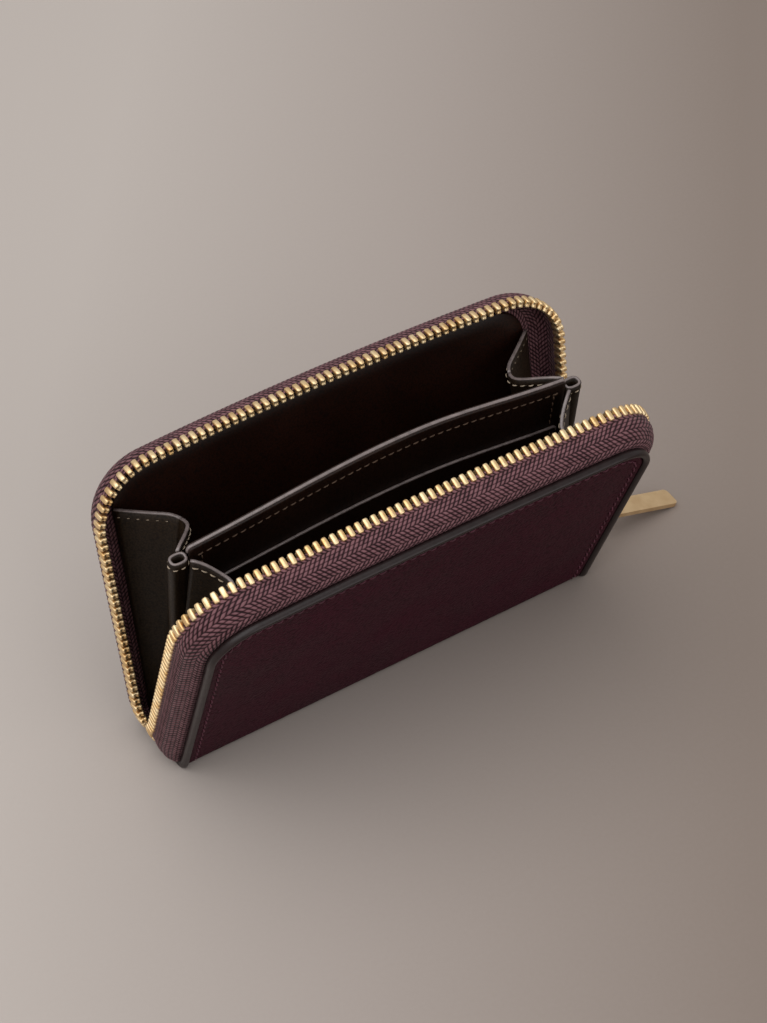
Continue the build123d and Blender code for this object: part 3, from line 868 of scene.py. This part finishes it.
def row_piece(name, cover, lengths, shape):
    """Teeth or a stop on the tape's edge at rim lengths, which turn with the cover between two heights."""
    step = 0.05 * MM
    edge = cover.row_places(lengths)
    along = cover.row_places(lengths + step) - edge
    out = cover.row_places(lengths, ROW_OUTSET + step) - edge
    lean = cover.edge_turn(lengths)
    tip = np.stack([0 * lean, -cover.facing * np.cos(lean), np.sin(lean)], -1)
    along = unit(square_to(along, tip))
    out = unit(square_to(square_to(out, tip), along))
    frames = np.stack([along, out, tip], 1)
    vertices = edge[:, None, None, :] + np.einsum("rpi,nij->nrpj", shape, frames)
    faces = repeat_faces(tube_faces(*shape.shape[:2]), shape.shape[0] * shape.shape[1], len(lengths))
    piece = closed_piece(name, vertices.reshape(-1, 3), faces, TOOTH_METAL)
    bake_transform(piece)
    return piece


def rim_length_at(cover, height):
    """Length along the rim, from the left foot, at which the tape's edge has a height."""
    run = np.linspace(TAIL_HALF, cover.corner, 2000)
    return float(np.interp(height, cover.edge_height(run), run))


for cover in COVERS:
    total = cover.rim_length
    lengths = np.linspace(TAIL_HALF, total - TAIL_HALF, 6000)
    run = run_along(cover.row_places(lengths))
    at_divide = total - rim_length_at(cover, RIGHT_TURN[1])
    ends = (rim_length_at(cover, FIRST_TOOTH_HEIGHT), total - rim_length_at(cover, LAST_TOOTH_HEIGHT))
    teeth = np.interp(np.arange(*np.interp(ends, lengths, run), TOOTH_PITCH), run, lengths)
    row = row_piece(f"{cover.name}_teeth", cover, teeth[teeth <= at_divide], TOOTH_SHAPE)
    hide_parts(f"{cover.name}_zip_teeth")
    row_piece(f"{cover.name}_teeth_right", cover, teeth[teeth > at_divide], TOOTH_SHAPE)
    stop_length = np.array([rim_length_at(cover, STOP_HEIGHT)])
    stop = row_piece(f"{cover.name}_stop", cover, stop_length, STOP_SHAPE)
    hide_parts(f"{cover.name}_zip_stop")


# Divider and card pockets

SKIN_INSET = 0.8 * MM
SKIN_ROUNDING = 0.2 * MM
STIFFENER_MARGIN = 1.5 * MM
DIVIDER_STITCH_INSET = 3.0 * MM
POCKET_STITCH_X = 47.3 * MM
POCKET_STITCH_ENDS = (66.0 * MM, 8.0 * MM)


def bead(name, line, sides, ups, half_width, half_height, closed=False):
    """A rounded bead of pale paint along a line, its section across the side and up directions."""
    wide, tall = oval(12, half_width, half_height, 0.7)
    rings = line[:, None] + sides[:, None] * wide[None, :, None] + ups[:, None] * tall[None, :, None]
    return tube(name, rings, PALE_PAINT, closed)


def skin(name, sheet, low, high, material):
    """A sheet on the divider between two depths, its edge rounded."""
    outer = [(-SKIN_INSET, high), (-SKIN_ROUNDING, high), (0, high - SKIN_ROUNDING)]
    inner = [(0, low + SKIN_ROUNDING), (-SKIN_ROUNDING, low), (-SKIN_INSET, low)]
    return arched_sheet(name, sheet, np.linspace(0, sheet.corner, 25)[:-1], outer + inner, material)


def top_edge(name, sheet, low, high):
    """Pale paint along a divider sheet's top edge."""
    start = sheet.corner - 0.5 * MM
    lengths = np.linspace(start, sheet.rim_length - start, 200)
    middle = (low + high) / 2
    line, sides = sheet.surface(*sheet.rim(lengths, 0.0), middle)
    ups = unit(sheet.at(*sheet.rim(lengths, NUDGE), middle) - line)
    return bead(name, line, sides, ups, (high - low) / 2, 0.3 * MM)


def on_divider(piece, *replaced, slot="inner_leather"):
    """The piece moves with the divider."""
    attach(piece, "divider")
    if replaced:
        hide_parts(*replaced)


def divider_seam(name, x, s, depth):
    """Stitches on the divider's front, or on its back where the depth is negative."""
    places, normals = DIVIDER.surface(x, s, depth)
    outwards = -np.sign(np.broadcast_to(depth, s.shape))[:, None] * normals
    on_divider(stitches(name, places, outwards, *DIVIDER_STITCH))


for side, low, high in (("front", BOARD / 2, DIVIDER_HALF), ("back", -DIVIDER_HALF, -BOARD / 2)):
    on_divider(skin(f"divider_{side}_leather", DIVIDER, low, high, DIVIDER_LEATHER), f"divider_{side}")
core = Divider(STIFFENER_MARGIN, STIFFENER_MARGIN)
stiffener = skin("divider_stiffener", core, -BOARD / 2, BOARD / 2, BOARD_FIBRE)
on_divider(stiffener, "divider_board", slot="board")
on_divider(top_edge("divider_edge_paint", DIVIDER, -0.42 * MM, 0.42 * MM))
start = DIVIDER.corner + 2.0 * MM
x, s = DIVIDER.rim(np.linspace(start, DIVIDER.rim_length - start, 300), -DIVIDER_STITCH_INSET)
divider_seam("divider_front_stitches", x, s, DIVIDER_HALF)
divider_seam("divider_back_stitches", x, s, -DIVIDER_HALF)

face = DIVIDER_HALF
s = np.linspace(*POCKET_STITCH_ENDS, 300)
stitch_depth = np.full(s.shape, DIVIDER_HALF)
for number in range(POCKETS):
    sheet = Divider(POCKET_MARGIN, POCKET_DROP + number * POCKET_STEP)
    pocket = skin(f"card_pocket_leather_{number + 1}", sheet, face, face + SKIN, DIVIDER_LEATHER)
    on_divider(pocket, f"card_pocket_{number + 1}")
    on_divider(top_edge(f"card_pocket_edge_{number + 1}", sheet, face + 0.05 * MM, face + SKIN + 0.03 * MM))
    face += SKIN
    stitch_depth[s < sheet.corner] = face
for end_name, end in ENDS.items():
    divider_seam(f"pocket_stitches_{end_name}", end * POCKET_STITCH_X, s, stitch_depth)


# Gussets and the wraps round the divider's ends

WRAP_GAP = 0.1 * MM  # from the divider's end
WRAP_STITCH_DROP = 1.6 * MM
GUSSET_STITCH_DROP = 1.8 * MM
LEG_POINTS = 9
GUSSET_POINTS = 3 * LEG_POINTS - 2
FOLD_SHARE = {"front": 0.5, "back": 0.553}  # place of the fold between the divider and the cover
FOLD_REACH = 4.5 * MM
GUSSET_SAG = 0.27 * MM
BELLY_START = 0.36  # of the way from the seam to the divider
KEEP_FRONT = 0.27  # of a gusset's thickness when it is closed
KEEP_BACK = 0.24


def wrap_ring(end, share, thickness=0.0):
    """The wrap's outline at a share of its height, inset by a thickness."""
    length = WRAP_LENGTH * (0.72 + 0.28 * smooth(share * 1.4))
    depth = WRAP_DEPTH * (0.8 + 0.2 * smooth(share * 1.2))
    across, deep = oval(28, length / 2 - thickness, depth / 2 - thickness, 0.75)
    x = end * (DIVIDER_HALF_WIDTH + WRAP_GAP + length / 2) + across
    return DIVIDER.at(x, np.full(x.shape, share * WRAP_TOP), deep)


for end_name, end in ENDS.items():
    shares = np.linspace(0, 1, 24)
    outside = [wrap_ring(end, share) for share in shares]
    inside = [wrap_ring(end, share, GUSSET) for share in shares[::-1]]
    wrap = tube(f"divider_wrap_leather_{end_name}", outside + inside, GUSSET_LEATHER)
    on_divider(wrap, f"divider_wrap_{end_name}")
    line = wrap_ring(end, 1.0, GUSSET / 2)
    sides = unit(wrap_ring(end, 1.0) - line)
    ups = np.broadcast_to([0, -sin(DIVIDER_LEAN), cos(DIVIDER_LEAN)], line.shape)
    on_divider(bead(f"wrap_edge_{end_name}", line, sides, ups, 0.32 * MM, 0.28 * MM, closed=True))
    around = wrap_ring(end, 1 - WRAP_STITCH_DROP / WRAP_TOP)
    around, normals = (np.concatenate([ring, ring[:1]]) for ring in (around, sides))
    on_divider(stitches(f"wrap_stitches_{end_name}", around, normals, *WRAP_STITCH))


def cover_y(cover, depth, height):
    """y of the place at a depth in a cover and at a height above the ground."""
    outwards = BEND_RADIUS - depth
    up = (height - BEND_RADIUS + outwards * sin(cover.lean)) / cos(cover.lean)
    return cover.facing * (HINGE_Y + outwards * cos(cover.lean) + up * sin(cover.lean))


def gusset_ends(cover, height):
    """y of a gusset's seam on the cover and of its edge by the divider, at a height."""
    seam = cover_y(cover, INNER_DEPTH + CLEARANCE + GUSSET / 2, height)
    middle = -(height - DIVIDER_FOOT) * tan(DIVIDER_LEAN)
    return seam, middle + cover.facing * (WRAP_DEPTH / 2 + GUSSET / 2 - GUSSET_PRESS)


def gusset_line(end, cover, height):
    """The gusset's middle line at a height, from its seam on the cover round the fold to the divider."""
    seam_y, edge_y = gusset_ends(cover, height)
    top_seam_y, top_edge_y = gusset_ends(cover, GUSSET_TOP)
    spread = (seam_y - edge_y) / (top_seam_y - top_edge_y)
    fold_y = edge_y + FOLD_SHARE[cover.name] * (seam_y - edge_y)
    seam, fold, edge = (
        np.array([end * (GUSSET_APEX_X + spread * (x - GUSSET_APEX_X)), y])
        for x, y in ((GUSSET_SEAM_X, seam_y), (GUSSET_FOLD_X, fold_y), (GUSSET_END_X[cover.name], edge_y))
    )
    leg = 0.45 * min(np.linalg.norm(seam - fold), np.linalg.norm(edge - fold))
    reach = min(FOLD_REACH * spread + 0.5 * MM, leg)
    turn_in, turn_out = fold + unit(seam - fold) * reach, fold + unit(edge - fold) * reach
    shares = np.linspace(0, 1, LEG_POINTS)[:, None]
    first = seam + (turn_in - seam) * shares
    last = turn_out + (edge - turn_out) * shares
    shares = shares[1:-1]
    fold_line = (1 - shares) ** 2 * turn_in + 2 * shares * (1 - shares) * fold + shares**2 * turn_out
    run = np.linspace(0, 1, GUSSET_POINTS)[:, None]
    sag = np.sin(2 * pi * run) * GUSSET_SAG * spread
    past_fold = between(run, BELLY_START, 1)
    belly = np.sin(pi * past_fold) * smooth(2.5 * past_fold) * GUSSET_BELLY * spread
    inwards = np.array([-0.8 * end, -0.6 * cover.facing])
    return np.concatenate([first, fold_line, last]) + sag * unit(edge - seam) + belly * inwards


def leaf_pieces(name, end, cover, part):
    """A gusset's leaf, its painted edge and its stitches, for a slice of the gusset's line."""
    heights = np.linspace(GUSSET_FOOT, GUSSET_TOP, 22)
    lines = np.array([gusset_line(end, cover, height) for height in heights])
    up_share = np.linspace(0, 1, len(heights))[:, None]
    lift = GUSSET_RISE * up_share * smooth(np.linspace(-1, 1, GUSSET_POINTS))[None, :]
    lines[..., 1] -= lift * tan(DIVIDER_LEAN)
    lines, lift = lines[:, part], lift[:, part]
    heading = unit(np.gradient(lines, axis=1))
    normal = np.stack([heading[..., 1], -heading[..., 0]], -1)
    level = (heights[:, None] + lift)[..., None]

    def lifted(flat):
        return np.concatenate([flat, level], -1)

    one, other = lifted(lines + normal * GUSSET / 2), lifted(lines - normal * GUSSET / 2)
    leaf = tube(name, np.concatenate([one, other[:, ::-1]], axis=1), GUSSET_LEATHER)
    top = lifted(lines)[-1]
    sides = np.concatenate([normal[-1], np.zeros((len(top), 1))], -1)
    ups = np.broadcast_to([0.0, 0.0, 1.0], top.shape)
    pieces = [leaf, bead(f"{name}_edge", top, sides, ups, 0.42 * MM, 0.32 * MM)]
    for number, outwards in ((1, sides), (2, -sides)):
        line = top + outwards * GUSSET / 2 - ups * GUSSET_STITCH_DROP
        pieces.append(stitches(f"{name}_stitches_{number}", line, outwards, *GUSSET_STITCH))
    return pieces


middle = GUSSET_POINTS // 2
divider_out = (0, -cos(DIVIDER_LEAN), -sin(DIVIDER_LEAN))
cover_out = (0, cos(BACK.lean), -sin(BACK.lean))
front_edge_y = gusset_ends(FRONT, GUSSET_TOP)[1]
back_seam_y, back_edge_y = gusset_ends(BACK, GUSSET_TOP)
leaves = (  # name, cover, part of the line, body, a hinge, its axis, anchor and share kept
    ("front", FRONT, slice(None), "divider", FRONT.hinge, divider_out, front_edge_y, KEEP_FRONT),
    ("back", BACK, slice(None, middle + 1), BACK.body, FRONT.hinge, cover_out, back_seam_y, KEEP_BACK),
    ("inner", BACK, slice(middle, None), "divider", BACK.hinge, divider_out, back_edge_y, KEEP_BACK),
)
for end_name, end in ENDS.items():
    for side, cover, part, body, hinge, axis, y, keep in leaves:
        pieces = leaf_pieces(f"gusset_{end_name}_{side}_leather", end, cover, part)
        for piece in pieces:
            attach(piece, body)
            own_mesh(piece)
            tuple(axis)
        if side != "inner":
            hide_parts(f"gusset_{end_name}_{side}")


# The strip that anchors the divider's foot

ANCHOR_HALF = 4.5 * MM
ANCHOR_ROUNDING = 0.3 * MM

outline = [(-ANCHOR_HALF, 0), (-ANCHOR_HALF, SKIN), (ANCHOR_HALF, SKIN), (ANCHOR_HALF, 0)]
outline = rounded(outline, ANCHOR_ROUNDING, 3)
stops = np.linspace(-DIVIDER_HALF_WIDTH, DIVIDER_HALF_WIDTH, 40)
rings = [[(x, y, INNER_DEPTH + z) for y, z in outline] for x in stops]
anchor = tube("divider_anchor_leather", rings, DIVIDER_LEATHER)
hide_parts("divider_anchor")
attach(anchor, "spine")


# CAD nodes that stay


def keep_node(name, material, bevel=None):
    """Gives a CAD node its material and, where wanted, rounded edges."""
    shown = nodes[name]
    shown.data.materials.clear()
    shown.data.materials.append(material)
    if bevel is not None:
        modifier = shown.modifiers.new("round", "BEVEL")
        modifier.width = bevel
        modifier.segments = 3
        modifier.limit_method = "ANGLE"
        modifier.angle_limit = radians(40)


for name in ("front_board", "back_board", "spine_board"):
    keep_node(name, BOARD_FIBRE)
keep_node("zip_bottom_stop", TOOTH_METAL, 0.15 * MM)
keep_node("slider_body", SLIDER_METAL, 0.2 * MM)
keep_node("slider_bail", SLIDER_METAL, 0.2 * MM)
keep_node("pull_bar", SLIDER_METAL, 0.25 * MM)


# Stage

# Angles in radians, the azimuth from +Y towards +X
CAMERA_AZIMUTH = 0.5354
CAMERA_ELEVATION = 0.8177
CAMERA_ROLL = 0.0190
CAMERA_PLACE = Vector((-0.2058, -0.3558, 0.4868))
CAMERA_LENS = 88.99

# The floor's colour is painted light falloff: lighter on the left of the view and darker to the right.
FLOOR_FALLOFF_AZIMUTH = CAMERA_AZIMUTH + 0.1
FLOOR_FALLOFF_WIDTH = 0.24  # over which the floor's colour changes, across the view
FLOOR_HALF = 3.0
FLOOR_FALLOFF_COLOURS = [(0.1, (186, 178, 172)), (0.5, (166, 156, 150)), (0.9, (137, 125, 117))]
LAMPS = (  # name, place, size, power
    ("key", (-0.4, 0.05, 1.05), 1.4, 9.5),
    ("fill", (0.3, -1.1, 0.5), 1.0, 3.5),
)
LAMP_TARGET = Vector((0, 0, 0.03))


def stage():
    """A pale floor, darker across the view as painted light falloff, and soft studio lamps."""
    floor_material, tree, shader = new_material("floor", (176, 167, 160), 0.85, specular=0.2)
    place = object_place(tree)
    grain = noise(tree, place, 900.0, 4.0)
    # Painted light falloff: the floor darkens across the view, away from the key lamp's side.
    across = Vector((cos(FLOOR_FALLOFF_AZIMUTH), -sin(FLOOR_FALLOFF_AZIMUTH), 0)) / FLOOR_FALLOFF_WIDTH
    painted_falloff = node(tree, "ShaderNodeVectorMath", {0: place, 1: across}, operation="DOT_PRODUCT")
    shade = math(tree, "MULTIPLY_ADD", grain, 0.05, 0.475)
    colour(tree, shader, math(tree, "ADD", shade, painted_falloff.outputs["Value"]), FLOOR_FALLOFF_COLOURS)
    corners = [(x * FLOOR_HALF, y * FLOOR_HALF, 0) for x, y in ((-1, -1), (1, -1), (1, 1), (-1, 1))]
    floor = mesh_piece("floor", corners, [(0, 1, 2, 3)], floor_material)
    world = bpy.data.worlds.new("studio")
    bpy.context.scene.world = world
    world.use_nodes = True
    background = world.node_tree.nodes["Background"]
    background.inputs["Color"].default_value = (*linear((235, 232, 230)), 1)
    background.inputs["Strength"].default_value = 0.62
    for name, place, size, power in LAMPS:
        lamp = bpy.data.lights.new(name, "AREA")
        lamp.size = size
        lamp.energy = power
        holder = placed(name, lamp)
        holder.location = place
        holder.rotation_euler = (LAMP_TARGET - Vector(place)).to_track_quat("-Z", "Y").to_euler()


def camera():
    """The camera, above the front cover's left end."""
    data = bpy.data.cameras.new("camera")
    data.lens = CAMERA_LENS
    data.clip_start = 0.01
    holder = placed("camera", data)
    towards = Matrix.Rotation(-CAMERA_AZIMUTH, 4, "Z") @ Matrix.Rotation(pi / 2 - CAMERA_ELEVATION, 4, "X")
    turned = towards @ Matrix.Rotation(-CAMERA_ROLL, 4, "Z")
    holder.matrix_world = Matrix.Translation(CAMERA_PLACE) @ turned
    bpy.context.scene.camera = holder


stage()
camera()
bpy.context.scene.view_settings.view_transform = "Standard"
